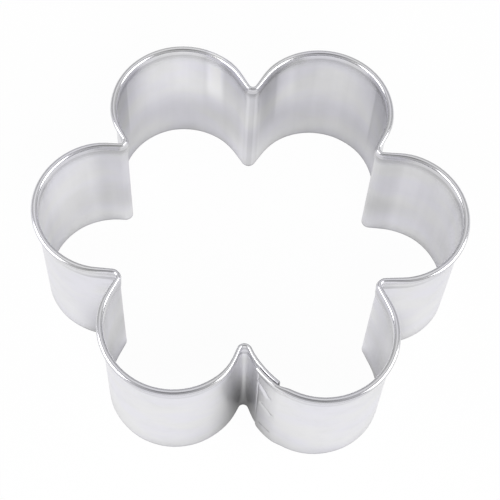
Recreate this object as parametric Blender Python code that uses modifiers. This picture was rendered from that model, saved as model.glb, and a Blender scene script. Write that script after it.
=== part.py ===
"""Scalloped biscuit cutter with six round petals.

One strip of tinplate stands on its cutting edge and is bent into petals, with a tight fold between
each two. Its top edge is curled outward into a bead. Its two ends lap just past the front fold,
where three spot welds hold them.

Metres, +Z up. The origin is the middle of the cutter, on the plane of the cutting edge. The
petals lie on even angles with one on +X, and the lapped ends are at the front, towards -Y.
"""

import math
from typing import NamedTuple

import bmesh
import bpy
from mathutils import Matrix, Vector

MM = 0.001

# The strip
STRIP_DEPTH = 25.4 * MM
SHEET = 0.25 * MM

# The outline of the petals, along the middle of the sheet
PETAL_RADIUS = 11.1 * MM
PETAL_GAP = 0.7 * MM
FOLD_RADIUS = 1.15 * MM
FRONT_FOLD_RADIUS = 1.0 * MM

# Each petal was bent by hand, so its centre is a little off the even pattern: (outward, sideways)
# for each petal, starting right of the lapped ends and going anticlockwise
PETAL_SHIFTS = (
    (0.30 * MM, -0.10 * MM),
    (0.25 * MM, 0.20 * MM),
    (-0.15 * MM, 0.00 * MM),
    (-0.15 * MM, 0.30 * MM),
    (0.15 * MM, -0.30 * MM),
    (-0.25 * MM, -0.05 * MM),
)

# How far the flanks of each fold slant, starting at the front fold, which is squeezed tighter than
# the others to bring the lapped ends together, and going anticlockwise
FOLD_SLANTS = (
    math.radians(24.0),
    math.radians(34.5),
    math.radians(35.0),
    math.radians(33.5),
    math.radians(30.0),
    math.radians(35.0),
)

# The front fold leans to the left towards its top, and takes the strip beside it along
FRONT_FOLD_LEAN = 0.5 * MM
LEAN_REACH = 7.0 * MM

# The curled bead along the top edge, squeezed narrower towards each fold, and the neck below it
BEAD_WIDTH = 1.1 * MM
BEAD_HEIGHT = 1.1 * MM
BEAD_INWARD_REACH = 0.22 * MM
SQUEEZED_BEAD_WIDTH = 0.75 * MM
SQUEEZE_REACH = 7.0 * MM
FOLD_CLEARANCE = 0.15 * MM
NECK_HEIGHT = 1.2 * MM

# The lapped ends, measured along the outline from the middle of the front fold
LAP_START = 4.2 * MM
LAP_LENGTH = 3.7 * MM
LAP_GAP = 0.15 * MM
LAP_EASE = 2.2 * MM
LAPPED_BEAD_WIDTH = 0.56 * MM

# The spot welds, which go through both laps with a clearance round them
WELD_TILTS = {
    "lower_spot_weld": math.radians(0.0),
    "middle_spot_weld": math.radians(-30.0),
    "upper_spot_weld": math.radians(-40.0),
}
WELD_WIDTH = 0.8 * MM
WELD_END_MARGIN = 0.75 * MM
WELD_EDGE_MARGIN = 3.0 * MM
WELD_NECK_MARGIN = 4.9 * MM
WELD_CLEARANCE = 0.3 * MM
WELD_DENT = 0.05 * MM
WELD_ROUNDING = 0.06 * MM

# How finely the round stretches are divided
PETAL_STEP = math.radians(15.0)
FOLD_STEP = math.radians(20.0)
CURL_STEPS = 9
EASE_STEPS = 4
WELD_SIDES = 22
WALL_STEPS = 4
SHORTEST_STEP = 0.35 * MM
SHARP_ANGLE = math.radians(50.0)

# Sizes that follow from the ones above
PETAL_COUNT = len(PETAL_SHIFTS)
PETAL_CIRCLE = (PETAL_RADIUS + PETAL_GAP / 2) / math.sin(math.pi / PETAL_COUNT)
FOLD_RADII = (FRONT_FOLD_RADIUS,) + (FOLD_RADIUS,) * (PETAL_COUNT - 1)
LAP_END = LAP_START + LAP_LENGTH
LAP_STEP = SHEET + LAP_GAP
NECK_TOP = STRIP_DEPTH - BEAD_HEIGHT
NECK_BOTTOM = NECK_TOP - NECK_HEIGHT
WELD_LENGTH = LAP_LENGTH - 2 * WELD_END_MARGIN
WELD_THICKNESS = 2 * SHEET + LAP_GAP - 2 * WELD_DENT
CURL_SWEEP = math.radians(270.0)


class Run(NamedTuple):
    """A straight or round stretch of the outline, with the angle of its outward normal."""
    start_centre: Vector
    end_centre: Vector
    radius: float
    start_angle: float
    end_angle: float
    length: float
    steps: int

    def at(self, distance):
        share = distance / self.length
        normal = direction(self.start_angle + (self.end_angle - self.start_angle) * share)
        centre = self.start_centre.lerp(self.end_centre, share)
        return centre + normal * self.radius, normal


class Section(NamedTuple):
    """Where the middle of the wall and the two sides of the bead lie, outward of the outline."""
    wall: float
    bead_inside: float
    bead_outside: float

    def mixed(self, other, share):
        return Section(*(a + (b - a) * eased(share) for a, b in zip(self, other)))


PLAIN = Section(0.0, -BEAD_INWARD_REACH, BEAD_WIDTH - BEAD_INWARD_REACH)

# Where the bead runs through a fold it stays clear of itself
SQUEEZED = Section(0.0, -BEAD_INWARD_REACH,
                   min(SQUEEZED_BEAD_WIDTH - BEAD_INWARD_REACH, min(FOLD_RADII) - FOLD_CLEARANCE))

# The two lapped ends share the wall's line and the bead's middle between them
BEAD_MIDDLE = (PLAIN.bead_inside + PLAIN.bead_outside) / 2
INNER_LAP = Section(-LAP_STEP / 2, BEAD_MIDDLE - LAP_GAP / 2 - LAPPED_BEAD_WIDTH,
                    BEAD_MIDDLE - LAP_GAP / 2)
OUTER_LAP = Section(LAP_STEP / 2, BEAD_MIDDLE + LAP_GAP / 2,
                    BEAD_MIDDLE + LAP_GAP / 2 + LAPPED_BEAD_WIDTH)


def direction(angle):
    return Vector((math.cos(angle), math.sin(angle)))


def eased(share):
    """A share from 0 to 1 that starts and ends gently."""
    share = min(max(share, 0.0), 1.0)
    return share * share * (3 - 2 * share)


def arc(centre, radius, start_angle, end_angle, step):
    """A round stretch. In a fold the radius is negative, because its centre is outside."""
    turn = end_angle - start_angle
    steps = max(1, math.ceil(abs(turn) / step))
    return Run(centre, centre, radius, start_angle, end_angle, abs(radius * turn), steps)


def flank(start, end, angle):
    return Run(start, end, 0.0, angle, angle, (end - start).length, 1)


def petal_centres():
    """The petals' centres, moved so that the whole outline is centred on the origin."""
    centres = []
    for index, (outward, sideways) in enumerate(PETAL_SHIFTS):
        angle = math.pi * ((2 * index + 1) / PETAL_COUNT - 0.5)
        along = direction(angle)
        across = direction(angle + math.pi / 2)
        centres.append(along * (PETAL_CIRCLE + outward) + across * sideways)
    middle = Vector((
        (min(c.x for c in centres) + max(c.x for c in centres)) / 2,
        (min(c.y for c in centres) + max(c.y for c in centres)) / 2,
    ))
    return [centre - middle for centre in centres]


def fold_between(petal, following, slant, radius):
    """The fold's centre, outside the outline, and the direction from one petal to the next."""
    reach = (following - petal).length / 2
    along = (following - petal).normalized()
    outward = Vector((along.y, -along.x))
    rise = PETAL_RADIUS + radius - reach * math.cos(slant)
    centre = (petal + following) / 2 + outward * (rise / math.sin(slant))
    return centre, math.atan2(along.y, along.x)


def outline_runs():
    """The closed outline, anticlockwise from the middle of the front fold."""
    centres = petal_centres()
    folds = [fold_between(centres[i - 1], centres[i], FOLD_SLANTS[i], FOLD_RADII[i])
             for i in range(PETAL_COUNT)]
    runs = []
    for index, centre in enumerate(centres):
        following = (index + 1) % PETAL_COUNT
        fold_in, angle_in = folds[index]
        fold_out, angle_out = folds[following]
        radius_in, radius_out = FOLD_RADII[index], FOLD_RADII[following]
        start = angle_in + math.pi + FOLD_SLANTS[index]
        end = angle_out - FOLD_SLANTS[following]
        end = start + (end - start) % (2 * math.pi)
        half_turn_in = math.pi / 2 - FOLD_SLANTS[index]
        half_turn_out = math.pi / 2 - FOLD_SLANTS[following]
        arrive, leave = direction(start), direction(end)
        runs += [
            arc(fold_in, -radius_in, start + half_turn_in, start, FOLD_STEP),
            flank(fold_in - arrive * radius_in, centre + arrive * PETAL_RADIUS, start),
            arc(centre, PETAL_RADIUS, start, end, PETAL_STEP),
            flank(centre + leave * PETAL_RADIUS, fold_out - leave * radius_out, end),
            arc(fold_out, -radius_out, end, end - half_turn_out, FOLD_STEP),
        ]
    return runs


def total_length(runs):
    return sum(run.length for run in runs)


def from_fold(runs, distance, index):
    """How far along the outline a fold's middle is, the shorter way round."""
    per_petal = len(runs) // PETAL_COUNT
    length = total_length(runs)
    ahead = (distance - total_length(runs[:index * per_petal])) % length
    return min(ahead, length - ahead)


def outline_at(runs, distance):
    """The point on the outline this far from the middle of the front fold, and its normal."""
    distance %= total_length(runs)
    for run in runs:
        if distance <= run.length:
            break
        distance -= run.length
    return run.at(min(distance, run.length))


def strip_point(runs, distance, outward, height):
    """A point of the strip this far outward of the outline, leaning as the front fold does."""
    point, normal = outline_at(runs, distance)
    place = point + normal * outward
    share = eased(1 - from_fold(runs, distance, 0) / LEAN_REACH)
    lean = FRONT_FOLD_LEAN * share * height / STRIP_DEPTH
    return Vector((place.x - lean, place.y, height))


def strip_distances(runs):
    """Where the strip's sections stand, from its outer end all the way round to its inner end."""
    marks = []
    passed = 0.0
    for run in runs:
        marks += [passed + run.length * i / run.steps for i in range(run.steps)]
        passed += run.length
    eases = [LAP_EASE * i / EASE_STEPS for i in range(EASE_STEPS + 1)]
    lap_marks = [LAP_START - ease for ease in eases] + [LAP_END + ease for ease in eases]
    marks = [m for m in marks if min(abs(m - lap) for lap in lap_marks) > SHORTEST_STEP]
    marks = sorted(marks + lap_marks)
    tolerance = SHEET / 100
    around = marks + [mark + passed for mark in marks]
    return [d for d in around if LAP_START - tolerance < d < passed + LAP_END + tolerance]


def section_at(runs, distance):
    nearest = min(from_fold(runs, distance, index) for index in range(PETAL_COUNT))
    squeeze = 1 - nearest / SQUEEZE_REACH
    outer = 1 - (distance - LAP_END) / LAP_EASE
    inner = 1 - (total_length(runs) + LAP_START - distance) / LAP_EASE
    return PLAIN.mixed(SQUEEZED, squeeze).mixed(OUTER_LAP, outer).mixed(INNER_LAP, inner)


def section_profile(section):
    """The middle of the sheet from the cutting edge up, and round the curl to its raw edge."""
    inside = section.bead_inside + SHEET / 2
    outside = section.bead_outside - SHEET / 2
    half_width = (outside - inside) / 2
    straight = (BEAD_HEIGHT - SHEET) / 2 - half_width
    middle = STRIP_DEPTH - BEAD_HEIGHT / 2
    points = [(section.wall, NECK_BOTTOM * i / WALL_STEPS) for i in range(WALL_STEPS + 1)]
    points.append((inside, NECK_TOP))
    for step in range(CURL_STEPS + 1):
        angle = math.pi - CURL_SWEEP * step / CURL_STEPS
        height = math.sin(angle)
        side = 0.0 if abs(height) < 0.01 else math.copysign(straight, height)
        x = inside + half_width * (1 + math.cos(angle))
        points.append((x, middle + side + half_width * height))
    return points


def new_object(name, bm, collection, material=None):
    mesh = bpy.data.meshes.new(name)
    bmesh.ops.recalc_face_normals(bm, faces=bm.faces)
    bm.to_mesh(mesh)
    bm.free()
    mesh.shade_smooth()
    if material:
        mesh.materials.append(material)
    obj = bpy.data.objects.new(name, mesh)
    collection.objects.link(obj)
    return obj


def settle(obj):
    """Makes what the modifiers give the object's own mesh, so that its cut rims can be sharp."""
    graph = bpy.context.evaluated_depsgraph_get()
    mesh = bpy.data.meshes.new_from_object(obj.evaluated_get(graph))
    mesh.set_sharp_from_angle(angle=SHARP_ANGLE)
    mesh.name = obj.name
    obj.modifiers.clear()
    obj.data = mesh


def make_strip(collection, material):
    """The strip's middle surface lofted through its unlike sections, then given its thickness."""
    runs = outline_runs()
    bm = bmesh.new()
    rows = []
    for distance in strip_distances(runs):
        profile = section_profile(section_at(runs, distance))
        rows.append([bm.verts.new(strip_point(runs, distance, x, z)) for x, z in profile])
    for row, following in zip(rows, rows[1:]):
        for low in range(len(row) - 1):
            bm.faces.new((row[low], following[low], following[low + 1], row[low + 1]))
    strip = new_object("cutter_strip", bm, collection, material)
    thickness = strip.modifiers.new("sheet", "SOLIDIFY")
    thickness.thickness = SHEET
    thickness.offset = 0.0
    thickness.use_even_offset = True
    return strip


def weld_place(height, tilt):
    """A frame in the middle of the lap: X along the mark, Z outward through both sheets."""
    runs = outline_runs()
    distance = LAP_START + LAP_LENGTH / 2
    _, normal = outline_at(runs, distance)
    outward = Vector((normal.x, normal.y, 0.0))
    along = Vector((-normal.y, normal.x, 0.0))
    upward = Vector((0.0, 0.0, 1.0))
    axes = Matrix((along, upward, outward)).transposed()
    turn = Matrix.Rotation(tilt, 3, "Z")
    placed = (axes @ turn).to_4x4()
    placed.translation = strip_point(runs, distance, 0.0, height)
    return placed


def oblong(name, length, width, thickness, collection, material=None):
    """A flat slug with round ends: a short cylinder whose two halves are drawn apart."""
    bm = bmesh.new()
    bmesh.ops.create_cone(bm, cap_ends=True, segments=WELD_SIDES, radius1=width / 2,
                          radius2=width / 2, depth=thickness)
    for vert in bm.verts:
        vert.co.x += math.copysign((length - width) / 2, vert.co.x)
    return new_object(name, bm, collection, material)


def make_welds(strip, parts, cutters, material):
    """The welds, evenly up the flat of the wall, and the slots for them in the strip."""
    lowest = WELD_EDGE_MARGIN
    highest = NECK_BOTTOM - WELD_NECK_MARGIN
    welds = []
    for index, (name, tilt) in enumerate(WELD_TILTS.items()):
        height = lowest + (highest - lowest) * index / (len(WELD_TILTS) - 1)
        place = weld_place(height, tilt)
        weld = oblong(name, WELD_LENGTH, WELD_WIDTH, WELD_THICKNESS, parts, material)
        weld.matrix_world = place
        rounding = weld.modifiers.new("rounded rim", "BEVEL")
        rounding.width = WELD_ROUNDING
        rounding.segments = 2
        slot = oblong(name + "_slot", WELD_LENGTH + 2 * WELD_CLEARANCE,
                      WELD_WIDTH + 2 * WELD_CLEARANCE, 4 * WELD_THICKNESS, cutters)
        slot.matrix_world = place
        slot.hide_render = True
        slot.display_type = "WIRE"
        cut = strip.modifiers.new(slot.name, "BOOLEAN")
        cut.operation = "DIFFERENCE"
        cut.solver = "EXACT"
        cut.object = slot
        welds.append(weld)
    return welds


def make_material(name, colour, roughness, metallic):
    material = bpy.data.materials.new(name)
    material.use_nodes = True
    shader = material.node_tree.nodes["Principled BSDF"]
    shader.inputs["Base Color"].default_value = (*colour, 1.0)
    shader.inputs["Roughness"].default_value = roughness
    shader.inputs["Metallic"].default_value = metallic
    material.diffuse_color = (*colour, 1.0)
    return material


def new_collection(name):
    collection = bpy.data.collections.new(name)
    bpy.context.scene.collection.children.link(collection)
    return collection


def main():
    for obj in list(bpy.data.objects):
        bpy.data.objects.remove(obj, do_unlink=True)

    parts = new_collection("scalloped_biscuit_cutter")
    cutters = new_collection("cutters")
    tinplate = make_material("tinplate", (0.80, 0.80, 0.82), 0.32, 1.0)
    weld_metal = make_material("weld_metal", (0.66, 0.66, 0.69), 0.45, 1.0)

    strip = make_strip(parts, tinplate)
    welds = make_welds(strip, parts, cutters, weld_metal)
    for piece in [strip] + welds:
        settle(piece)

    origin = bpy.data.objects.new("cutter_origin", None)
    parts.objects.link(origin)
    for piece in [strip] + welds:
        piece.parent = origin


main()
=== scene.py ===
"""The look of the scalloped biscuit cutter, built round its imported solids.

One strip of satin tinplate, bent into six petals, with a curled bead along its top edge and its two
ends lapped and spot welded just past the front fold. The strip is lofted along the same outline as
the solids, with the foot of the neck, the joggle, the raw ends and the pressed weld marks added.
Metres, +Z up, the floor at the cutting edge. Distances along the strip start at the middle of the
front fold and run anticlockwise, seen from above.
"""

import math
from typing import NamedTuple

import bmesh
import bpy
from mathutils import Matrix, Vector


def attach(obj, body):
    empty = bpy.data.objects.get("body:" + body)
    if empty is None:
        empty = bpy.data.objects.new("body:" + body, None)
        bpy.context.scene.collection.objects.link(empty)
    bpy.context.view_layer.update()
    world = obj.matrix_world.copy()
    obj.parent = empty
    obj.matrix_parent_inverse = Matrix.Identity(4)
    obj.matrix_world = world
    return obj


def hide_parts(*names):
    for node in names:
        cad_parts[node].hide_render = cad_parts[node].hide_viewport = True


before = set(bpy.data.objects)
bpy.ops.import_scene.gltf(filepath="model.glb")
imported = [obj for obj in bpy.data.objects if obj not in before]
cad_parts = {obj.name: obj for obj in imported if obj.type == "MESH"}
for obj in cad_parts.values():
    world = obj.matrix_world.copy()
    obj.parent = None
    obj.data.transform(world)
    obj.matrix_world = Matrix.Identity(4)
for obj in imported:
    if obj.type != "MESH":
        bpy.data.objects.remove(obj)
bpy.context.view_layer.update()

MM = 0.001

# The strip and its outline, as in the solids
STRIP_DEPTH = 25.4 * MM
SHEET = 0.25 * MM
PETAL_RADIUS = 11.1 * MM
PETAL_GAP = 0.7 * MM
FOLD_RADIUS = 1.15 * MM
FRONT_FOLD_RADIUS = 1.0 * MM
FRONT_FOLD_LEAN = 0.5 * MM
LEAN_REACH = 7.0 * MM
PETAL_SHIFTS = (
    (0.30 * MM, -0.10 * MM),
    (0.25 * MM, 0.20 * MM),
    (-0.15 * MM, 0.00 * MM),
    (-0.15 * MM, 0.30 * MM),
    (0.15 * MM, -0.30 * MM),
    (-0.25 * MM, -0.05 * MM),
)
FOLD_SLANTS = (
    math.radians(24.0),
    math.radians(34.5),
    math.radians(35.0),
    math.radians(33.5),
    math.radians(30.0),
    math.radians(35.0),
)
PETAL_COUNT = len(PETAL_SHIFTS)
PETAL_CIRCLE = (PETAL_RADIUS + PETAL_GAP / 2) / math.sin(math.pi / PETAL_COUNT)
FOLD_RADII = (FRONT_FOLD_RADIUS,) + (FOLD_RADIUS,) * (PETAL_COUNT - 1)

# The bead, narrower at the folds and narrowest at the front one
BEAD_WIDTH = 1.1 * MM
BEAD_HEIGHT = 1.1 * MM
BEAD_INWARD_REACH = 0.22 * MM
SQUEEZED_BEAD_WIDTH = 0.75 * MM
SQUEEZE_REACH = 7.0 * MM
FRONT_BEAD_WIDTH = 0.58 * MM
FRONT_SQUEEZE_REACH = 10.0 * MM
CURL_SWEEP = math.radians(262.0)
SIDE_SHARPNESS = 4.0

# The neck: a step at its foot takes a share of its inset, which is deeper near the folds
NECK_HEIGHT = 2.0 * MM
NECK_TOP = STRIP_DEPTH - BEAD_HEIGHT
NECK_BOTTOM = NECK_TOP - NECK_HEIGHT
NECK_INSET = 0.11 * MM
NECK_STEP_HEIGHT = 0.24 * MM
NECK_STEP_SHARE = 0.6
NECK_FOOT = NECK_BOTTOM - NECK_STEP_HEIGHT / 2
CREASE_REACH = 9.0 * MM

# The neck meets the curl at least this share of the curl's half width inward of its middle, and
# stops this far below the point where they meet
LEAST_JOIN_LEAN = 0.35
JOIN_DROP = 0.12 * MM

# The lapped ends
LAP_START = 4.2 * MM
LAP_LENGTH = 3.7 * MM
LAP_GAP = 0.15 * MM
LAP_EASE = 2.2 * MM
LAPPED_BEAD_WIDTH = 0.56 * MM
SEAM_GAP = 0.05 * MM
JOGGLE_MARGIN = 0.05 * MM
JOGGLE_LENGTH = 0.40 * MM
RAW_END_TURN = 0.10 * MM
RAW_END_REACH = 0.28 * MM
RAW_END_SLANT = -0.2 * MM
LAP_END = LAP_START + LAP_LENGTH
LAP_STEP = SHEET + LAP_GAP
INNER_LAP_SHIFT = 0.65 * LAP_STEP
SLANT_REACH = 0.8 * LAP_LENGTH

# The slopes round a weld mark's floor, and the slug of squeezed metal in it
MARK_UPPER_SLOPE = 0.75 * MM
MARK_LOWER_SLOPE = 1.2 * MM
MARK_END_SLOPE = 0.6 * MM
SLUG_SHARE = 0.48
SLUG_LIFT = 0.006 * MM

# Fineness
PETAL_STEP = math.radians(5.0)
FOLD_STEP = math.radians(6.0)
FLANK_STEP = 0.5 * MM
LAP_COLUMN = 0.13 * MM
FINE_PAST_LAP = 0.6 * MM
FINE_BEFORE_LAP = 0.9 * MM
LEAST_COLUMN = 0.1 * MM
WALL_ROW = 1.9 * MM
LAP_ROW = 0.17 * MM
LAP_ROWS_EACH = round(WALL_ROW / LAP_ROW)
NECK_STEP_ROWS = 5
NECK_ROWS = 3
CURL_STEPS = 26
SLUG_RINGS = 9
SLUG_SPOKES = 44
SHARP_ANGLE = math.radians(50.0)

# Tin colours, as shares of the material's own tone
WARM_TINT = (1.000, 0.998, 1.012)
COOL_TINT = (0.983, 0.976, 1.042)
DULL_TINT = (0.90, 0.90, 0.915)
SMUDGE_SHARE = 0.35
GRAIN_SHARE = 0.16
INSIDE_WEAR = 0.5

# How much each pattern changes the roughness, and its share of the relief
SMUDGE_ROUGHNESS = 0.12
GRAIN_ROUGHNESS = 0.07
SCRATCH_ROUGHNESS = 0.10
GRAIN_RELIEF = 0.6
SPECKLE_RELIEF = 0.4
SCRATCH_RELIEF = -0.4
BUMP_DEPTH = 0.004 * MM
BUMP_STRENGTH = 0.35

# Painted shade on both sides of the strip: below the bead, mottled by the grain, under it, and along
# the cutting edge
BEAD_SHADE_BOTTOM = 22.2 * MM
BEAD_SHADE_TOP = 24.0 * MM
BEAD_SHADE_END = 24.5 * MM
BEAD_SHADE_CHANGE = -0.34
BEAD_SHADE_GRAIN = (0.3, 0.6)
BEAD_SHADE_LEAST_SHARE = 0.7
UNDERSIDE_START = 25.6 * MM
UNDERSIDE_FULL = 26.2 * MM
UNDERSIDE_TONE = 0.78
EDGE_START = 0.1 * MM
EDGE_END = 0.5 * MM
EDGE_TONE = 0.78

# Painted shade on the outside: in the notches at the folds, deeper towards their foot, and a painted
# shade line at the neck's foot
NOTCH_NEAR = 1.5 * MM
NOTCH_FAR = 9.5 * MM
NOTCH_FOOT = 3.0 * MM
NOTCH_CLEAR = 17.0 * MM
NOTCH_CHANGE = -0.39
NECK_LINE_START = 21.65 * MM
NECK_LINE = 22.0 * MM
NECK_LINE_END = 22.6 * MM
NECK_LINE_CHANGE = -0.13
NECK_LINE_IN_NOTCH = 0.4

# The inside's painted shade and light: a slightly darker tone, a painted darker band half way up, a
# painted brighter foot, random patches and streaks of tone, and painted shade over the bead's inner
# bulge
INSIDE_TONE = 0.985
BAND_RISE = (2.0 * MM, 8.5 * MM)
BAND_FALL = (9.0 * MM, 16.0 * MM)
BAND_CHANGE = -0.10
BAND_LEAST_SHARE = 0.4
BRIGHT_FOOT = (0.5 * MM, 7.0 * MM)
FOOT_CHANGE = 0.07
PATCH_CHANGE = 0.035
STREAK_CHANGE = 0.015
PAINTED_STRETCH_RISE = 7.0 * MM
PLAIN_ABOVE = (23.9 * MM, 24.3 * MM)
BULGE_RISE = (24.2 * MM, 24.4 * MM)
BULGE_FALL = (24.7 * MM, 25.0 * MM)
BULGE_CHANGE = -0.14

# The camera, fitted to the photograph: angles in radians, lens and sensor in millimetres
VIEW_TURN = -0.0411
VIEW_RISE = 1.1005
VIEW_DISTANCE = 257.39 * MM
VIEW_TARGET = Vector((0.475 * MM, 6.245 * MM, 0.0))
VIEW_ROLL = 0.0690
LENS = 104.93
SENSOR_WIDTH = 36.0
CLIP_START = 0.005
CLIP_END = 50.0
BACKWARD = Vector((math.sin(VIEW_TURN) * math.cos(VIEW_RISE),
                   -math.cos(VIEW_TURN) * math.cos(VIEW_RISE), math.sin(VIEW_RISE)))

# The floor, and how much of its white the camera and the metal see
FLOOR_RADIUS = 6.0
FLOOR_SIDES = 96
FLOOR_DROP = 0.02 * MM
FLOOR_COLOUR = (0.90, 0.90, 0.90, 1.0)
CAMERA_GLOW = 0.97
METAL_GLOW = 0.80
# Painted shade on the floor's white in the metal, where walls enclose it and at their foot
ENCLOSED_REACH = 16.0 * MM
ENCLOSED_OPENNESS = (0.12, 0.46)
CONTACT_REACH = 1.5 * MM
CONTACT_OPENNESS = (0.45, 0.95)
CONTACT_SHADE = 0.82
OPENNESS_SAMPLES = 4
AMBIENT = 0.15

# The light tent. Each fade is a range of the cosine of the angle to some direction
TENT_RADIUS = 1.6
TENT_FOOT = 0.02
TENT_SEGMENTS = 96
TENT_RINGS = 48
TENT_FRONT = 0.50
TENT_BACK = 0.52
TENT_HORIZON = 0.35
TENT_FADE = (-0.75, 0.25)
HORIZON_FADE = (0.0, 0.45)
BEHIND_FADE = (0.1, 0.6)
CAMERA_HOLE = 0.26
HOLE_FADE = (0.92, 0.98)
PANEL_PLACE = (0.0, 0.36, 0.93)
PANEL_FADE = (0.88, 0.96)
PANEL_CHANGE = 0.30

# The lamps
LAMP_RADIANCE = 3.0
LAMP_WIDTH = 1.0
LAMP_HEIGHT = 0.9
LAMP_PLACES = ((-1.15, -0.25, 0.55), (1.15, -0.25, 0.55))
FILL_RADIANCE = 8.0
FILL_SIZE = 0.7
FILL_PLACE = (0.15, -0.95, 1.0)

WHITE = (1.0, 1.0, 1.0, 1.0)


class Run(NamedTuple):
    """A straight or round stretch of the outline, with the angle of its outward normal."""
    start_centre: Vector
    end_centre: Vector
    radius: float
    start_angle: float
    end_angle: float
    length: float
    steps: int

    def at(self, distance):
        share = distance / self.length
        normal = direction(self.start_angle + (self.end_angle - self.start_angle) * share)
        centre = self.start_centre.lerp(self.end_centre, share)
        return centre + normal * self.radius, normal


class Section(NamedTuple):
    """How far outward of the outline the middle of the wall, the middle of the neck and the two
    sides of the bead lie.
    """
    wall: float
    neck: float
    bead_inside: float
    bead_outside: float

    def mixed(self, other, share):
        ease = smooth(share)
        return Section(*(a + (b - a) * ease for a, b in zip(self, other)))


class Mark(NamedTuple):
    """A pressed weld mark: its middle along the outline and up the wall, its size and tilt."""
    node: str
    distance: float
    height: float
    length: float
    width: float
    tilt: float
    depth: float


class Wave(NamedTuple):
    """One of the waves in a hand-bent wall: how high it is, how many go round, where it starts."""
    height: float
    count: int
    start: float


class Pattern(NamedTuple):
    """Noise on the tin, with how many spots a millimetre holds along the strip and across it.

    It starts to show at its low level and shows fully at its high one.
    """
    along: float
    across: float
    detail: float
    roughness: float = 0.5
    low: float = 0.0
    high: float = 1.0


class PaintedStretch(NamedTuple):
    """A stretch of the inside with painted shade or painted light, and how softly its two ends fade.
    """
    start: float
    end: float
    start_blur: float
    end_blur: float
    change: float
    foot: float = -PAINTED_STRETCH_RISE


PLAIN = Section(0.0, -NECK_INSET, -BEAD_INWARD_REACH, BEAD_WIDTH - BEAD_INWARD_REACH)
SQUEEZED = PLAIN._replace(bead_outside=SQUEEZED_BEAD_WIDTH - BEAD_INWARD_REACH)
FRONT_SQUEEZED = PLAIN._replace(bead_outside=FRONT_BEAD_WIDTH - BEAD_INWARD_REACH)
BEAD_MIDDLE = (PLAIN.bead_inside + PLAIN.bead_outside) / 2
INNER_LAP = Section(-INNER_LAP_SHIFT, -INNER_LAP_SHIFT - NECK_INSET / 2,
                    BEAD_MIDDLE - LAP_GAP / 2 - LAPPED_BEAD_WIDTH, BEAD_MIDDLE - SEAM_GAP / 2)
OUTER_LAP = Section(LAP_STEP / 2, LAP_STEP + NECK_INSET / 2,
                    BEAD_MIDDLE + SEAM_GAP / 2, BEAD_MIDDLE + LAP_GAP / 2 + LAPPED_BEAD_WIDTH)

MARKS = (
    Mark("lower_spot_weld", 6.3 * MM, 3.1 * MM, 2.6 * MM, 0.85 * MM, math.radians(0.0),
         0.09 * MM),
    Mark("middle_spot_weld", 6.4 * MM, 11.4 * MM, 3.2 * MM, 0.85 * MM, math.radians(-30.0),
         0.17 * MM),
    Mark("upper_spot_weld", 5.5 * MM, 18.0 * MM, 4.0 * MM, 0.85 * MM, math.radians(-42.0),
         0.22 * MM),
)

# The waves are a quarter as high at the bead, which holds the sheet
WAVES = (
    Wave(0.0210 * MM, 11, 0.6),
    Wave(0.0154 * MM, 17, 2.1),
    Wave(0.0098 * MM, 29, 4.0),
    Wave(0.0056 * MM, 47, 1.3),
)
WAVE_HOLD = 0.75
BELLY = Wave(0.020 * MM, 7, 3.3)

# Rolling drew these out along the strip
GRAIN = Pattern(0.35, 9.0, detail=4.0, roughness=0.65, low=0.40, high=0.70)
SPECKLE = Pattern(5.0, 14.0, detail=2.0)
SCRATCH = Pattern(0.5, 16.0, detail=1.0, low=0.70, high=0.76)

# Use and bending left these, except that the drift only varies the strength of the painted shade band
# on the inside
TINT = Pattern(0.09, 0.16, detail=2.0, low=0.35, high=0.65)
SMUDGE = Pattern(0.22, 0.30, detail=5.0, roughness=0.6, low=0.45, high=0.75)
DRIFT = Pattern(0.05, 0.10, detail=1.0, low=0.35, high=0.60)
PATCH = Pattern(0.13, 0.05, detail=2.0, roughness=0.4, low=0.3, high=0.7)
STREAK = Pattern(0.55, 0.02, detail=2.0, low=0.3, high=0.7)

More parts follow.
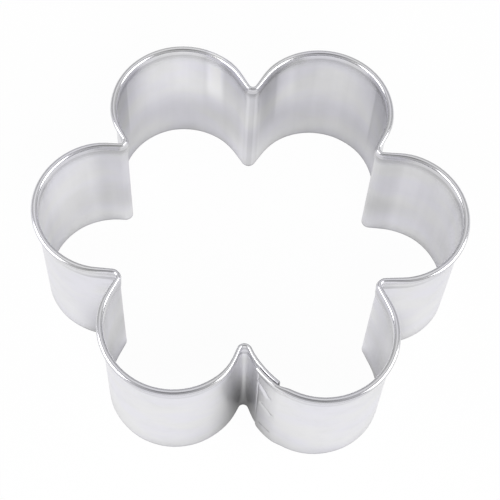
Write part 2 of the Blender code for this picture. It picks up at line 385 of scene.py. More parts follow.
# Painted reflections of the other walls on the inside, as darker and lighter stretches, petal by
# petal, from the front right one round to the front left one
PAINTED_STRETCHES = (
    PaintedStretch(0.0 * MM, 36.0 * MM, 1.0 * MM, 5.0 * MM, -0.13),
    PaintedStretch(43.0 * MM, 60.0 * MM, 2.0 * MM, 5.0 * MM, 0.07),
    PaintedStretch(66.0 * MM, 73.0 * MM, 2.0 * MM, 2.0 * MM, -0.09, foot=10.0 * MM),
    PaintedStretch(79.0 * MM, 82.0 * MM, 2.0 * MM, 2.0 * MM, -0.13),
    PaintedStretch(92.0 * MM, 96.0 * MM, 3.0 * MM, 0.6 * MM, -0.20, foot=4.0 * MM),
    PaintedStretch(97.0 * MM, 110.0 * MM, 3.0 * MM, 6.0 * MM, -0.04),
    PaintedStretch(97.0 * MM, 110.0 * MM, 3.0 * MM, 4.0 * MM, -0.03, foot=11.0 * MM),
    PaintedStretch(113.0 * MM, 114.4 * MM, 1.6 * MM, 2.0 * MM, 0.13, foot=11.0 * MM),
    PaintedStretch(116.2 * MM, 119.6 * MM, 0.8 * MM, 1.2 * MM, -0.13, foot=6.0 * MM),
    PaintedStretch(120.8 * MM, 123.2 * MM, 0.6 * MM, 0.6 * MM, -0.09),
    PaintedStretch(121.9 * MM, 122.5 * MM, 0.25 * MM, 0.25 * MM, -0.12),
    PaintedStretch(122.6 * MM, 125.6 * MM, 1.0 * MM, 4.0 * MM, 0.06, foot=0.0),
    PaintedStretch(125.0 * MM, 143.0 * MM, 3.0 * MM, 3.0 * MM, 0.07, foot=8.0 * MM),
    PaintedStretch(130.4 * MM, 132.0 * MM, 1.4 * MM, 1.4 * MM, 0.22, foot=10.0 * MM),
    PaintedStretch(149.0 * MM, 153.0 * MM, 0.6 * MM, 3.0 * MM, -0.17, foot=6.0 * MM),
    PaintedStretch(160.0 * MM, 166.0 * MM, 3.0 * MM, 3.0 * MM, -0.06),
    PaintedStretch(169.0 * MM, 176.0 * MM, 3.0 * MM, 4.0 * MM, 0.05),
    PaintedStretch(182.0 * MM, 200.0 * MM, 4.0 * MM, 2.0 * MM, 0.08),
    PaintedStretch(204.0 * MM, 240.0 * MM, 3.0 * MM, 1.0 * MM, -0.15),
)


def direction(angle):
    return Vector((math.cos(angle), math.sin(angle)))


def smooth(share):
    share = min(max(share, 0.0), 1.0)
    return share * share * (3 - 2 * share)


def arc(centre, radius, start_angle, end_angle, step):
    """A round stretch. In a fold the radius is negative, because its centre is outside."""
    turn = end_angle - start_angle
    steps = max(1, math.ceil(abs(turn) / step))
    return Run(centre, centre, radius, start_angle, end_angle, abs(radius * turn), steps)


def flank(start, end, angle):
    length = (end - start).length
    return Run(start, end, 0.0, angle, angle, length, max(1, math.ceil(length / FLANK_STEP)))


def petal_centres():
    """The petals' centres, moved so that the whole outline is centred on the origin."""
    centres = []
    for index, (outward, sideways) in enumerate(PETAL_SHIFTS):
        angle = math.pi * ((2 * index + 1) / PETAL_COUNT - 0.5)
        along = direction(angle)
        across = direction(angle + math.pi / 2)
        centres.append(along * (PETAL_CIRCLE + outward) + across * sideways)
    middle = Vector((
        (min(c.x for c in centres) + max(c.x for c in centres)) / 2,
        (min(c.y for c in centres) + max(c.y for c in centres)) / 2,
    ))
    return [centre - middle for centre in centres]


def fold_between(petal, following, slant, radius):
    """The fold's centre, outside the outline, and the direction from one petal to the next."""
    reach = (following - petal).length / 2
    along = (following - petal).normalized()
    outward = Vector((along.y, -along.x))
    rise = PETAL_RADIUS + radius - reach * math.cos(slant)
    centre = (petal + following) / 2 + outward * (rise / math.sin(slant))
    return centre, math.atan2(along.y, along.x)


def outline_runs():
    """The closed outline, anticlockwise from the middle of the front fold."""
    centres = petal_centres()
    folds = [fold_between(centres[i - 1], centres[i], FOLD_SLANTS[i], FOLD_RADII[i])
             for i in range(PETAL_COUNT)]
    runs = []
    for index, centre in enumerate(centres):
        following = (index + 1) % PETAL_COUNT
        fold_in, angle_in = folds[index]
        fold_out, angle_out = folds[following]
        radius_in, radius_out = FOLD_RADII[index], FOLD_RADII[following]
        start = angle_in + math.pi + FOLD_SLANTS[index]
        end = angle_out - FOLD_SLANTS[following]
        end = start + (end - start) % (2 * math.pi)
        half_turn_in = math.pi / 2 - FOLD_SLANTS[index]
        half_turn_out = math.pi / 2 - FOLD_SLANTS[following]
        arrive, leave = direction(start), direction(end)
        runs += [
            arc(fold_in, -radius_in, start + half_turn_in, start, FOLD_STEP),
            flank(fold_in - arrive * radius_in, centre + arrive * PETAL_RADIUS, start),
            arc(centre, PETAL_RADIUS, start, end, PETAL_STEP),
            flank(centre + leave * PETAL_RADIUS, fold_out - leave * radius_out, end),
            arc(fold_out, -radius_out, end, end - half_turn_out, FOLD_STEP),
        ]
    return runs


RUNS = outline_runs()
OUTLINE_LENGTH = sum(run.length for run in RUNS)
RUNS_PER_PETAL = len(RUNS) // PETAL_COUNT
FOLD_PLACES = [sum(run.length for run in RUNS[:index * RUNS_PER_PETAL])
               for index in range(PETAL_COUNT)]


def from_fold(distance, place):
    """How far along the outline a fold's middle is, the shorter way round."""
    ahead = (distance - place) % OUTLINE_LENGTH
    return min(ahead, OUTLINE_LENGTH - ahead)


def outline_at(distance):
    """The point on the outline this far from the middle of the front fold, and its normal."""
    distance %= OUTLINE_LENGTH
    for run in RUNS:
        if distance <= run.length:
            break
        distance -= run.length
    return run.at(min(distance, run.length))


def strip_point(distance, outward, height):
    """A point of the strip this far outward of the outline, leaning as the front fold does."""
    point, normal = outline_at(distance)
    place = point + normal * outward
    near_front = smooth(1 - from_fold(distance, 0.0) / LEAN_REACH)
    lean = FRONT_FOLD_LEAN * near_front * height / STRIP_DEPTH
    return Vector((place.x - lean, place.y, height))


def section_at(distance):
    """The strip's section here, squeezed near a fold and shifted where the two ends lap."""
    nearest = min(from_fold(distance, place) for place in FOLD_PLACES)
    to_joggle = OUTLINE_LENGTH + LAP_START - distance
    squeeze = 1 - nearest / SQUEEZE_REACH
    front_squeeze = 1 - from_fold(distance, 0.0) / FRONT_SQUEEZE_REACH
    outer = 1 - (distance - LAP_END) / LAP_EASE
    inner = 1 - to_joggle / LAP_EASE
    joggle = 1 - (to_joggle - JOGGLE_MARGIN) / JOGGLE_LENGTH
    section = PLAIN.mixed(SQUEEZED, squeeze).mixed(FRONT_SQUEEZED, front_squeeze)
    section = section.mixed(OUTER_LAP, outer)
    section = section._replace(neck=section.neck - NECK_INSET * smooth(1 - nearest / CREASE_REACH))
    stepped = section.mixed(INNER_LAP, joggle)
    return section.mixed(INNER_LAP, inner)._replace(wall=stepped.wall, neck=stepped.neck)


def neck_profile(section, top):
    """The middle of the sheet over the step at the neck's foot, and on up to this height."""
    inset = section.neck - section.wall
    points = []
    for row in range(1, NECK_STEP_ROWS + 1):
        share = row / NECK_STEP_ROWS
        height = NECK_BOTTOM - NECK_STEP_HEIGHT / 2 + NECK_STEP_HEIGHT * share
        points.append((section.wall + inset * NECK_STEP_SHARE * smooth(share), height))
    start_outward, start_height = points[-1]
    for row in range(1, NECK_ROWS + 1):
        share = row / NECK_ROWS
        points.append((start_outward + (section.neck - start_outward) * share,
                       start_height + (top - start_height) * share))
    return points


def upper_profile(section):
    """The middle of the sheet from the foot of the neck up, and round the curl to its raw edge.

    The curl is an oval with straight sides where the bead is squeezed narrower than it is high.
    """
    inside = section.bead_inside + SHEET / 2
    outside = section.bead_outside - SHEET / 2
    half_width = (outside - inside) / 2
    centre = (outside + inside) / 2
    straight = (BEAD_HEIGHT - SHEET) / 2 - half_width
    middle = STRIP_DEPTH - BEAD_HEIGHT / 2
    lean = max(-1.0, min(-LEAST_JOIN_LEAN, (section.neck - centre) / half_width))
    first = math.pi + math.acos(-lean)
    last = math.pi - CURL_SWEEP
    join = middle - straight + half_width * math.sin(first)
    points = neck_profile(section, join - JOIN_DROP)
    for step in range(CURL_STEPS + 1):
        angle = first + (last - first) * step / CURL_STEPS
        rise = math.sin(angle)
        side = straight * max(-1.0, min(1.0, rise * SIDE_SHARPNESS))
        points.append((centre + half_width * math.cos(angle), middle + side + half_width * rise))
    return points


def mark_share(mark, distance, height):
    """How deep a weld mark presses here, from 0 outside it to 1 over its flat middle."""
    along = distance - mark.distance
    up = height - mark.height
    x = along * math.cos(mark.tilt) + up * math.sin(mark.tilt)
    y = -along * math.sin(mark.tilt) + up * math.cos(mark.tilt)
    reach = max(abs(x) - (mark.length - mark.width) / 2, 0.0)
    side = MARK_UPPER_SLOPE if y > 0 else MARK_LOWER_SLOPE
    return 1.0 - smooth(math.hypot(reach / MARK_END_SLOPE, y / side))


def waviness(distance, height):
    """The slight unevenness of a hand-bent sheet, outward, smallest where the bead holds it."""
    turn = 2 * math.pi * distance / OUTLINE_LENGTH
    hold = 1.0 - WAVE_HOLD * smooth(height / STRIP_DEPTH)
    waves = sum(wave.height * math.sin(wave.count * turn + wave.start) for wave in WAVES)
    belly = BELLY.height * math.sin(BELLY.count * turn + BELLY.start)
    return waves * hold + belly * math.sin(math.pi * height / STRIP_DEPTH)


def wall_point(distance, height, lap):
    """A point on the middle of the wall, with the weld marks pressed in from both sides."""
    offset = section_at(distance).wall + waviness(distance, height)
    if lap == "outer":
        offset -= RAW_END_TURN * (1 - smooth((distance - LAP_START) / RAW_END_REACH))
    for mark in MARKS:
        if lap == "outer":
            offset -= mark.depth * mark_share(mark, distance, height)
        elif lap == "inner":
            offset += mark.depth * mark_share(mark, distance - OUTLINE_LENGTH, height)
    return strip_point(distance, offset, height)


def slanted(distance, height):
    """The outer raw end isn't square: the columns near it lean."""
    lean = 0.5 - height / STRIP_DEPTH
    return distance + RAW_END_SLANT * lean * (1.0 - smooth((distance - LAP_START) / SLANT_REACH))


def even_steps(start, end, step):
    """Places from the start to the end, as near to this step apart as comes out even."""
    count = round((end - start) / step)
    return [start + (end - start) * i / count for i in range(count + 1)]


def column_distances():
    """Fine columns over the two lapped ends, and coarser ones round the petals between them."""
    places = []
    passed = 0.0
    for run in RUNS:
        places += [passed + run.length * i / run.steps for i in range(run.steps)]
        passed += run.length
    first_fine = LAP_END + FINE_PAST_LAP
    last_fine = OUTLINE_LENGTH + LAP_START - FINE_BEFORE_LAP
    outer = even_steps(LAP_START, first_fine, LAP_COLUMN)
    inner = even_steps(last_fine, OUTLINE_LENGTH + LAP_END, LAP_COLUMN)
    around = places + [place + OUTLINE_LENGTH for place in places]
    middle = [place for place in around
              if first_fine + LEAST_COLUMN < place < last_fine - LEAST_COLUMN]
    return outer, middle, inner


def wall_heights():
    """The rows of the wall, and the finer ones between them over the lap."""
    coarse = even_steps(0.0, NECK_FOOT, WALL_ROW)
    fine = [low + (high - low) * i / LAP_ROWS_EACH for low, high in zip(coarse, coarse[1:])
            for i in range(LAP_ROWS_EACH)]
    return coarse, fine + [coarse[-1]]


def linked_object(bm, name):
    """Turns the worked mesh into an object of this name in the scene."""
    mesh = bpy.data.meshes.new(name)
    bm.to_mesh(mesh)
    bm.free()
    made = bpy.data.objects.new(name, mesh)
    bpy.context.scene.collection.objects.link(made)
    return made


class MappedMesh:
    """A mesh being made, whose UVs are metres along the strip and across it."""

    def __init__(self):
        self.bm = bmesh.new()
        self.layer = self.bm.loops.layers.uv.new("strip")
        self.places = {}

    def vert(self, point, along, across):
        made = self.bm.verts.new(point)
        self.places[made] = (along, across)
        return made

    def face(self, *verts):
        for loop in self.bm.faces.new(verts).loops:
            loop[self.layer].uv = self.places[loop.vert]

    def join(self, left, right):
        """Faces between two columns of as many points."""
        for i in range(len(left) - 1):
            self.face(left[i], right[i], right[i + 1], left[i + 1])

    def finished(self, name):
        bmesh.ops.recalc_face_normals(self.bm, faces=self.bm.faces)
        return linked_object(self.bm, name)


def strip_column(work, distance, heights, lap):
    """The points of the middle surface at this distance, up the wall and round the curl."""
    column = [work.vert(wall_point(slanted(distance, height), height, lap), distance, height)
              for height in heights]
    section = section_at(distance)
    travelled = NECK_FOOT
    previous = (section.wall, NECK_FOOT)
    for outward, height in upper_profile(section):
        along = slanted(distance, height)
        place = strip_point(along, outward + waviness(along, height), height)
        travelled += math.hypot(outward - previous[0], height - previous[1])
        previous = (outward, height)
        column.append(work.vert(place, distance, travelled))
    return column


def join_to_fine(work, coarse, fine, rows, coarse_first):
    """Faces between a coarse column and a fine one. The wall has this many coarse rows."""
    for i in range(rows):
        side = fine[i * LAP_ROWS_EACH:(i + 1) * LAP_ROWS_EACH + 1]
        if coarse_first:
            work.face(coarse[i], *side, coarse[i + 1])
        else:
            work.face(coarse[i + 1], *reversed(side), coarse[i])
    upper = (coarse[rows:], fine[rows * LAP_ROWS_EACH:])
    work.join(*(upper if coarse_first else reversed(upper)))


def build_strip():
    """The strip's middle surface, with the fine columns of its lapped ends joined to the rest."""
    work = MappedMesh()
    coarse, fine = wall_heights()
    outer, middle, inner = column_distances()
    outer_columns = [strip_column(work, distance, fine, "outer") for distance in outer]
    middle_columns = [strip_column(work, distance, coarse, "") for distance in middle]
    inner_columns = [strip_column(work, distance, fine, "inner") for distance in inner]
    for group in (outer_columns, middle_columns, inner_columns):
        for left, right in zip(group, group[1:]):
            work.join(left, right)
    rows = len(coarse) - 1
    join_to_fine(work, middle_columns[0], outer_columns[-1], rows, False)
    join_to_fine(work, middle_columns[-1], inner_columns[0], rows, True)
    return work.finished("tinplate_strip")


def slug_face(work, mark, side):
    """One face of a slug, over the pressed sheet on this side. Returns its rim."""
    half = (mark.length - mark.width) / 2
    lap, turn = ("outer", 0.0) if side > 0 else ("inner", OUTLINE_LENGTH)

    def place(x, y):
        distance = mark.distance + x * math.cos(mark.tilt) - y * math.sin(mark.tilt)
        height = mark.height + x * math.sin(mark.tilt) + y * math.cos(mark.tilt)
        _, normal = outline_at(distance)
        lift = Vector((normal.x, normal.y, 0.0)) * (SHEET / 2 + SLUG_LIFT) * side
        return work.vert(wall_point(distance + turn, height, lap) + lift, distance, height)

    rings = []
    for ring in range(1, SLUG_RINGS + 1):
        share = ring / SLUG_RINGS
        row = []
        for spoke in range(SLUG_SPOKES):
            angle = 2 * math.pi * (spoke + 0.5) / SLUG_SPOKES
            x = mark.width * SLUG_SHARE * share * math.cos(angle)
            y = mark.width * SLUG_SHARE * share * math.sin(angle)
            row.append(place(x + math.copysign(half, x) * share, y))
        rings.append(row)
    centre = place(0.0, 0.0)
    first = rings[0]
    for i in range(SLUG_SPOKES):
        work.face(centre, first[i], first[(i + 1) % SLUG_SPOKES])
    for low, high in zip(rings, rings[1:]):
        for i in range(SLUG_SPOKES):
            j = (i + 1) % SLUG_SPOKES
            work.face(low[i], high[i], high[j], low[j])
    return rings[-1]


def build_slug(mark):
    """The metal squeezed under one weld mark: a slug whose two faces follow the pressed sheets."""
    work = MappedMesh()
    outside_rim = slug_face(work, mark, 1)
    inside_rim = slug_face(work, mark, -1)
    for i in range(SLUG_SPOKES):
        j = (i + 1) % SLUG_SPOKES
        work.face(outside_rim[i], inside_rim[i], inside_rim[j], outside_rim[j])
    slug = work.finished(mark.node + "_mark")
    slug.data.shade_smooth()
    slug.data.set_sharp_from_angle(angle=SHARP_ANGLE)
    return slug


class Nodes:
    """Adds nodes to the tree of one material or world, and links them."""

    def __init__(self, owner):
        owner.use_nodes = True
        self.owner = owner
        self.tree = owner.node_tree
        self.tree.nodes.clear()

    def feed(self, socket, value):
        if isinstance(value, bpy.types.NodeSocket):
            self.tree.links.new(value, socket)
        else:
            socket.default_value = value

    def add(self, kind, settings=None, **inputs):
        """A node with these settings. The input n0 is its first socket, n1 its second and so on.

        Other inputs go by name, with an underscore for a space.
        """
        node = self.tree.nodes.new(kind)
        for key, value in (settings or {}).items():
            setattr(node, key, value)
        for key, value in inputs.items():
            by_number = key[0] == "n" and key[1:].isdigit()
            name = int(key[1:]) if by_number else key.replace("_", " ")
            self.feed(node.inputs[name], value)
        return node

    def finish(self, kind, surface):
        """The output node, fed by this surface."""
        self.add(kind, Surface=surface)
        return self.owner

    def math(self, operation, *values):
        node = self.add("ShaderNodeMath", {"operation": operation})
        for socket, value in zip(node.inputs, values):
            self.feed(socket, value)
        return node.outputs[0]

    def scaled(self, vector, scale):
        node = self.add("ShaderNodeVectorMath", {"operation": "MULTIPLY"}, n0=vector, n1=scale)
        return node.outputs[0]

    def span(self, value, low, high, to_low, to_high):
        """Goes smoothly from one level to another while the value passes a range."""
        node = self.add("ShaderNodeMapRange", {"interpolation_type": "SMOOTHSTEP"}, Value=value,
                        From_Min=low, From_Max=high, To_Min=to_low, To_Max=to_high)
        return node.outputs["Result"]

    def rise(self, value, low, high):
        return self.span(value, low, high, 0.0, 1.0)

    def fall(self, value, low, high):
        return self.span(value, low, high, 1.0, 0.0)

    def blend(self, share, first, second):
        node = self.add("ShaderNodeMix", {"data_type": "RGBA"}, n0=share, n6=first, n7=second)
        return node.outputs[2]

    def mixed_shader(self, share, first, second):
        return self.add("ShaderNodeMixShader", n0=share, n1=first, n2=second).outputs[0]


class TinNodes(Nodes):
    """The nodes of one tinplate material, with the place on the strip and the patterns they share.

    The wear is the share that shows of the grain, the smudges and the relief.
    """

    def __init__(self, name, wear):
        super().__init__(bpy.data.materials.new(name))
        uv = self.add("ShaderNodeUVMap", {"uv_map": "strip"}).outputs[0]
        parts = self.add("ShaderNodeSeparateXYZ", Vector=uv)
        self.along = parts.outputs["X"]
        self.up = parts.outputs["Y"]
        self.millimetres = self.scaled(uv, (1 / MM, 1 / MM, 0.0))
        self.wear = wear
        self.grain = self.noise(GRAIN)
        self.smudge = self.noise(SMUDGE)
        self.scratch = self.shown(SCRATCH, self.noise(SCRATCH))

    def noise(self, pattern):
        place = self.scaled(self.millimetres, (pattern.along, pattern.across, 1.0))
        node = self.add("ShaderNodeTexNoise", {"noise_dimensions": "3D"}, Vector=place, Scale=1.0,
                        Detail=pattern.detail, Roughness=pattern.roughness)
        return node.outputs["Fac"]

    def shown(self, pattern, noise, to_low=0.0, to_high=1.0):
        """How far the noise shows between the pattern's two levels."""
        return self.span(noise, pattern.low, pattern.high, to_low, to_high)


def outside_shade(tin):
    """Painted shade towards the foot of each fold, where hardly any light gets in, and in a line at
    the neck's foot.
    """
    in_notch = 0.0
    for place in FOLD_PLACES + [OUTLINE_LENGTH]:
        away = tin.math("ABSOLUTE", tin.math("SUBTRACT", tin.along, place))
        in_notch = tin.math("ADD", tin.fall(away, NOTCH_NEAR, NOTCH_FAR), in_notch)
    # Painted shade in the notches, and a painted shade line at the neck's foot
    dark = tin.math("MULTIPLY", in_notch, NOTCH_CHANGE)
    lost = tin.math("MULTIPLY", dark, tin.fall(tin.up, NOTCH_FOOT, NOTCH_CLEAR))
    line = tin.math("MULTIPLY", tin.rise(tin.up, NECK_LINE_START, NECK_LINE),
                    tin.fall(tin.up, NECK_LINE, NECK_LINE_END))
    line_change = tin.math("MULTIPLY_ADD", dark, NECK_LINE_IN_NOTCH, NECK_LINE_CHANGE)
    return tin.math("ADD", tin.math("MULTIPLY_ADD", line, line_change, 1.0), lost)


def inside_shade(tin):
    """Painted light and shade on the inside of the wall in place of the reflections it shows, with
    random patches and streaks of tone.
    """
    # Painted shade in a band half way up, and painted light at the foot
    band = tin.math("MULTIPLY", tin.rise(tin.up, *BAND_RISE), tin.fall(tin.up, *BAND_FALL))
    band = tin.math("MULTIPLY", band, tin.shown(DRIFT, tin.noise(DRIFT), BAND_LEAST_SHARE, 1.0))
    shade = tin.math("MULTIPLY_ADD", band, BAND_CHANGE, INSIDE_TONE)
    shade = tin.math("ADD", shade, tin.span(tin.up, *BRIGHT_FOOT, FOOT_CHANGE, 0.0))
    for pattern, change in ((PATCH, PATCH_CHANGE), (STREAK, STREAK_CHANGE)):
        shade = tin.math("ADD", shade, tin.shown(pattern, tin.noise(pattern), -change, change))
    # Painted reflections: darker and lighter stretches along the inside
    for painted_stretch in PAINTED_STRETCHES:
        within = tin.math("MULTIPLY", tin.rise(tin.along, painted_stretch.start - painted_stretch.start_blur, painted_stretch.start),
                          tin.fall(tin.along, painted_stretch.end, painted_stretch.end + painted_stretch.end_blur))
        within = tin.math("MULTIPLY", within, tin.rise(tin.up, painted_stretch.foot, painted_stretch.foot + PAINTED_STRETCH_RISE))
        shade = tin.math("MULTIPLY_ADD", within, painted_stretch.change, shade)
    # No painted shade over the bead itself, and painted shade over its inner bulge
    shade = tin.math("MAXIMUM", shade, tin.rise(tin.up, *PLAIN_ABOVE))
    bulge = tin.math("MULTIPLY", tin.rise(tin.up, *BULGE_RISE), tin.fall(tin.up, *BULGE_FALL))
    return tin.math("MULTIPLY_ADD", bulge, BULGE_CHANGE, shade)


def shared_shade(tin):
    """Painted shade below the bead, under it and along the cutting edge, on both sides of the strip.
    """
    # Painted shade below the bead, mottled by the grain
    bead_shade = tin.math("MULTIPLY", tin.rise(tin.up, BEAD_SHADE_BOTTOM, BEAD_SHADE_TOP),
                     tin.fall(tin.up, BEAD_SHADE_TOP, BEAD_SHADE_END))
    bead_shade = tin.math("MULTIPLY", bead_shade, tin.span(tin.grain, *BEAD_SHADE_GRAIN, BEAD_SHADE_LEAST_SHARE, 1.0))
    # Painted shade under the curl and along the cutting edge
    underside = tin.span(tin.up, UNDERSIDE_START, UNDERSIDE_FULL, 1.0, UNDERSIDE_TONE)
    edge = tin.span(tin.up, EDGE_START, EDGE_END, EDGE_TONE, 1.0)
    shade = tin.math("MULTIPLY", tin.math("MULTIPLY_ADD", bead_shade, BEAD_SHADE_CHANGE, 1.0), underside)
    return tin.math("MULTIPLY", shade, edge)


def tin_colour(tin, tone, shade):
    """The tone in its two tints, with the dull smudges and the grain over them, scaled by the painted
    shade.
    """
    warm, cool, dull = (tuple(tone * share for share in tint) + (1.0,)
                        for tint in (WARM_TINT, COOL_TINT, DULL_TINT))
    colour = tin.blend(tin.shown(TINT, tin.noise(TINT)), warm, cool)
    smudged = tin.math("MULTIPLY", tin.shown(SMUDGE, tin.smudge), SMUDGE_SHARE * tin.wear)
    colour = tin.blend(smudged, colour, dull)
    grained = tin.math("MULTIPLY", tin.shown(GRAIN, tin.grain), GRAIN_SHARE * tin.wear)
    colour = tin.blend(grained, colour, dull)
    return tin.add("ShaderNodeVectorMath", {"operation": "SCALE"}, n0=colour, Scale=shade).outputs[0]


def tin_roughness(tin, dullness, bead_dullness):
    """Smoother over the bead than over the wall, and uneven as the patterns are."""
    beadness = tin.rise(tin.up, NECK_BOTTOM, NECK_TOP)
    rough = tin.math("MULTIPLY_ADD", beadness, bead_dullness - dullness, dullness)
    rough = tin.math("MULTIPLY_ADD", tin.math("SUBTRACT", tin.smudge, 0.5), SMUDGE_ROUGHNESS, rough)
    rough = tin.math("MULTIPLY_ADD", tin.math("SUBTRACT", tin.grain, 0.5), GRAIN_ROUGHNESS, rough)
    return tin.math("MULTIPLY_ADD", tin.scratch, SCRATCH_ROUGHNESS, rough)


def tin_relief(tin):
    """The finest unevenness, as a changed normal."""
    relief = tin.math("MULTIPLY", tin.grain, GRAIN_RELIEF)
    relief = tin.math("MULTIPLY_ADD", tin.noise(SPECKLE), SPECKLE_RELIEF, relief)
    relief = tin.math("MULTIPLY_ADD", tin.scratch, SCRATCH_RELIEF, relief)
    bump = tin.add("ShaderNodeBump", Strength=BUMP_STRENGTH * tin.wear, Distance=BUMP_DEPTH,
                   Height=relief)
    return bump.outputs[0]


def tinplate_material(name, tone, dullness, bead_dullness, anisotropy=0.0, inside=False):
    """Satin tinplate: rolling grain along the strip, faint smudges, hairline scratches and painted
    shade.
    """
    tin = TinNodes(name, INSIDE_WEAR if inside else 1.0)
    own_shade = inside_shade(tin) if inside else outside_shade(tin)
    shade = tin.math("MULTIPLY", own_shade, shared_shade(tin))
    tangent = tin.add("ShaderNodeTangent", {"direction_type": "UV_MAP", "uv_map": "strip"})
    colour = tin_colour(tin, tone, shade)
    rough = tin_roughness(tin, dullness, bead_dullness)
    shader = tin.add("ShaderNodeBsdfPrincipled", Metallic=1.0, Base_Color=colour, Roughness=rough,
                     Normal=tin_relief(tin), Anisotropic=anisotropy, Tangent=tangent.outputs[0])
    tin.owner.diffuse_color = (tone, tone, tone, 1.0)
    return tin.finish("ShaderNodeOutputMaterial", shader.outputs[0])


def finish_strip(strip, outside, edge, inside):
    """Gives the middle surface the sheet's thickness, with a material for each side and the rim."""
    for material in (inside, edge, outside):
        strip.data.materials.append(material)
    thickness = strip.modifiers.new("sheet", "SOLIDIFY")
    thickness.thickness = SHEET
    thickness.offset = 0.0
    thickness.use_even_offset = True
    thickness.material_offset_rim = 1
    thickness.material_offset = 2
    strip.data.shade_smooth()
    graph = bpy.context.evaluated_depsgraph_get()
    mesh = bpy.data.meshes.new_from_object(strip.evaluated_get(graph))
    mesh.name = "tinplate_strip"
    mesh.shade_smooth()
    mesh.set_sharp_from_angle(angle=SHARP_ANGLE)
    strip.modifiers.clear()
    strip.data = mesh


def mirrored_rays(nodes, path):
    return nodes.math("MAXIMUM", path.outputs["Is Glossy Ray"], path.outputs["Is Transmission Ray"])


def plain_white(nodes):
    """The floor's white, for camera rays and for glossy and transmission rays: share and strength.

    In the metal its white has painted shade where walls stand close round the floor, as real light
    would cast.
    """
    path = nodes.add("ShaderNodeLightPath")
    mirrored = mirrored_rays(nodes, path)
    share = nodes.math("ADD", nodes.math("MULTIPLY", path.outputs["Is Camera Ray"], CAMERA_GLOW),
                       nodes.math("MULTIPLY", mirrored, METAL_GLOW))

    def openness(reach):
        node = nodes.add("ShaderNodeAmbientOcclusion", {"samples": OPENNESS_SAMPLES}, Distance=reach)
        return node.outputs["AO"]

    open_sky = nodes.math("MULTIPLY", nodes.rise(openness(ENCLOSED_REACH), *ENCLOSED_OPENNESS),
                          nodes.span(openness(CONTACT_REACH), *CONTACT_OPENNESS, CONTACT_SHADE, 1.0))
    shade = nodes.math("MULTIPLY", mirrored, nodes.math("SUBTRACT", 1.0, open_sky))
    return share, nodes.math("SUBTRACT", 1.0, shade)


def floor_paper():
    """Pale matt paper, which shows to the camera as plain white and in the metal as white with painted
    shade near the walls.
    """
    nodes = Nodes(bpy.data.materials.new("pale_floor"))
    share, strength = plain_white(nodes)
    paper = nodes.add("ShaderNodeBsdfDiffuse", Color=FLOOR_COLOUR)
    glow = nodes.add("ShaderNodeEmission", Color=WHITE, Strength=strength)
    surface = nodes.mixed_shader(share, paper.outputs[0], glow.outputs[0])
    return nodes.finish("ShaderNodeOutputMaterial", surface)


def build_floor():
    bm = bmesh.new()
    bmesh.ops.create_circle(bm, cap_ends=True, segments=FLOOR_SIDES, radius=FLOOR_RADIUS)
    floor = linked_object(bm, "floor")
    floor.location.z = -FLOOR_DROP
    floor.data.materials.append(floor_paper())
    return floor


def tent_cloth():
    """Soft grey, darker low at the back, with a bright panel overhead and a dark camera hole."""
    nodes = Nodes(bpy.data.materials.new("tent_cloth"))
    place = nodes.add("ShaderNodeTexCoord").outputs["Object"]
    way = nodes.add("ShaderNodeVectorMath", {"operation": "NORMALIZE"}, n0=place).outputs[0]

    def towards(vector):
        node = nodes.add("ShaderNodeVectorMath", {"operation": "DOT_PRODUCT"}, n0=way,
                         n1=Vector(vector).normalized())
        return node.outputs["Value"]

    back = towards((0, 1, 0))
    level = nodes.span(back, *TENT_FADE, TENT_FRONT, TENT_BACK)
    low_at_back = nodes.math("MULTIPLY", nodes.fall(towards((0, 0, 1)), *HORIZON_FADE),
                             nodes.rise(back, *BEHIND_FADE))
    level = nodes.math("MULTIPLY_ADD", low_at_back, TENT_HORIZON - TENT_BACK, level)
    panel = nodes.rise(towards(PANEL_PLACE), *PANEL_FADE)
    level = nodes.math("MULTIPLY_ADD", panel, PANEL_CHANGE, level)
    hole = nodes.rise(towards(BACKWARD), *HOLE_FADE)
    level = nodes.math("MULTIPLY_ADD", hole, -CAMERA_HOLE, level)
    grey = nodes.add("ShaderNodeCombineColor", n0=level, n1=level, n2=level)
    glow = nodes.add("ShaderNodeEmission", Color=grey.outputs[0], Strength=1.0)
    return nodes.finish("ShaderNodeOutputMaterial", glow.outputs[0])


def build_tent():
    """A light tent over the set, which only the metal sees."""
    bm = bmesh.new()
    bmesh.ops.create_uvsphere(bm, u_segments=TENT_SEGMENTS, v_segments=TENT_RINGS,
                              radius=TENT_RADIUS)
    low = [vert for vert in bm.verts if vert.co.z < TENT_FOOT]
    bmesh.ops.delete(bm, geom=low, context="VERTS")
    bmesh.ops.reverse_faces(bm, faces=bm.faces)
    tent = linked_object(bm, "light_tent")
    tent.visible_camera = False
    tent.visible_shadow = False
    tent.visible_diffuse = False
    tent.data.materials.append(tent_cloth())
    return tent


def build_world():
    """White for the camera and in the metal, and a weak even light on the rest."""
    nodes = Nodes(bpy.data.worlds.new("studio"))
    path = nodes.add("ShaderNodeLightPath")
    seen = nodes.math("MAXIMUM", path.outputs["Is Camera Ray"], mirrored_rays(nodes, path))
    soft = nodes.add("ShaderNodeBackground", Color=WHITE, Strength=AMBIENT)
    white = nodes.add("ShaderNodeBackground", Color=WHITE, Strength=1.0)
    surface = nodes.mixed_shader(seen, soft.outputs[0], white.outputs[0])
    bpy.context.scene.world = nodes.finish("ShaderNodeOutputWorld", surface)


def build_softbox(name, place, width, height, radiance, mirrored):
    data = bpy.data.lights.new(name, "AREA")
    data.shape = "RECTANGLE"
    data.size = width
    data.size_y = height
    data.energy = radiance * math.pi * width * height
    lamp = bpy.data.objects.new(name, data)
    lamp.location = place
    lamp.rotation_euler = Vector(place).to_track_quat("Z", "Y").to_euler()
    lamp.visible_glossy = mirrored
    bpy.context.scene.collection.objects.link(lamp)


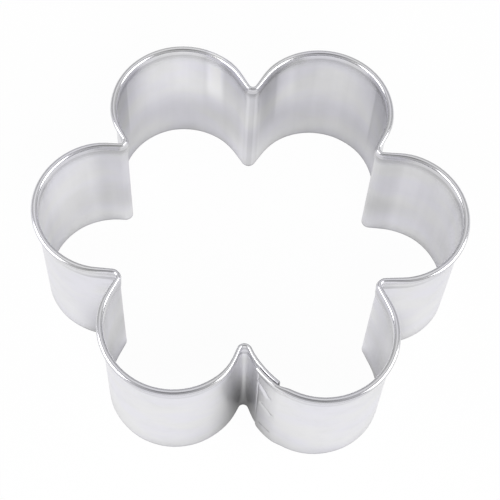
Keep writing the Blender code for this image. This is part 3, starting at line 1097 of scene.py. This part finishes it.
def build_lamps():
    """Two low softboxes that the bead mirrors, and one high fill that it doesn't."""
    for index, place in enumerate(LAMP_PLACES):
        build_softbox(f"softbox_{index}", place, LAMP_WIDTH, LAMP_HEIGHT, LAMP_RADIANCE, True)
    build_softbox("fill_0", FILL_PLACE, FILL_SIZE, FILL_SIZE, FILL_RADIANCE, False)


def build_camera():
    right = Vector((math.cos(VIEW_TURN), math.sin(VIEW_TURN), 0.0))
    up = BACKWARD.cross(right)
    turned_right = math.cos(VIEW_ROLL) * right + math.sin(VIEW_ROLL) * up
    turned_up = -math.sin(VIEW_ROLL) * right + math.cos(VIEW_ROLL) * up
    data = bpy.data.cameras.new("camera")
    data.lens = LENS
    data.sensor_width = SENSOR_WIDTH
    data.clip_start = CLIP_START
    data.clip_end = CLIP_END
    camera = bpy.data.objects.new("camera", data)
    placed = Matrix((turned_right, turned_up, BACKWARD)).transposed().to_4x4()
    placed.translation = VIEW_TARGET + BACKWARD * VIEW_DISTANCE
    camera.matrix_world = placed
    bpy.context.scene.collection.objects.link(camera)
    bpy.context.scene.camera = camera


satin = tinplate_material("satin_tinplate", tone=0.79, dullness=0.33, bead_dullness=0.19,
                          anisotropy=0.35)
# The inside's copy of the tin carries its own painted light and shade, besides a rougher wall and less
# wear
satin_inside = tinplate_material("satin_tinplate_inside", tone=0.79, dullness=0.36,
                                 bead_dullness=0.17, anisotropy=0.35, inside=True)
cut_edge = tinplate_material("cut_edge", tone=0.62, dullness=0.38, bead_dullness=0.38)
# The pressed metal's darker tone is partly its own heat-dulled finish and partly painted shade in the
# weld marks
pressed_metal = tinplate_material("weld_pressed_metal", tone=0.56, dullness=0.30,
                                  bead_dullness=0.30)

strip = build_strip()
finish_strip(strip, satin, cut_edge, satin_inside)
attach(strip, "root")
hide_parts("cutter_strip")

for mark in MARKS:
    slug = build_slug(mark)
    slug.data.materials.append(pressed_metal)
    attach(slug, "root")
    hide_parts(mark.node)

build_floor()
build_tent()
build_world()
build_lamps()
build_camera()
bpy.context.scene.view_settings.view_transform = "Standard"
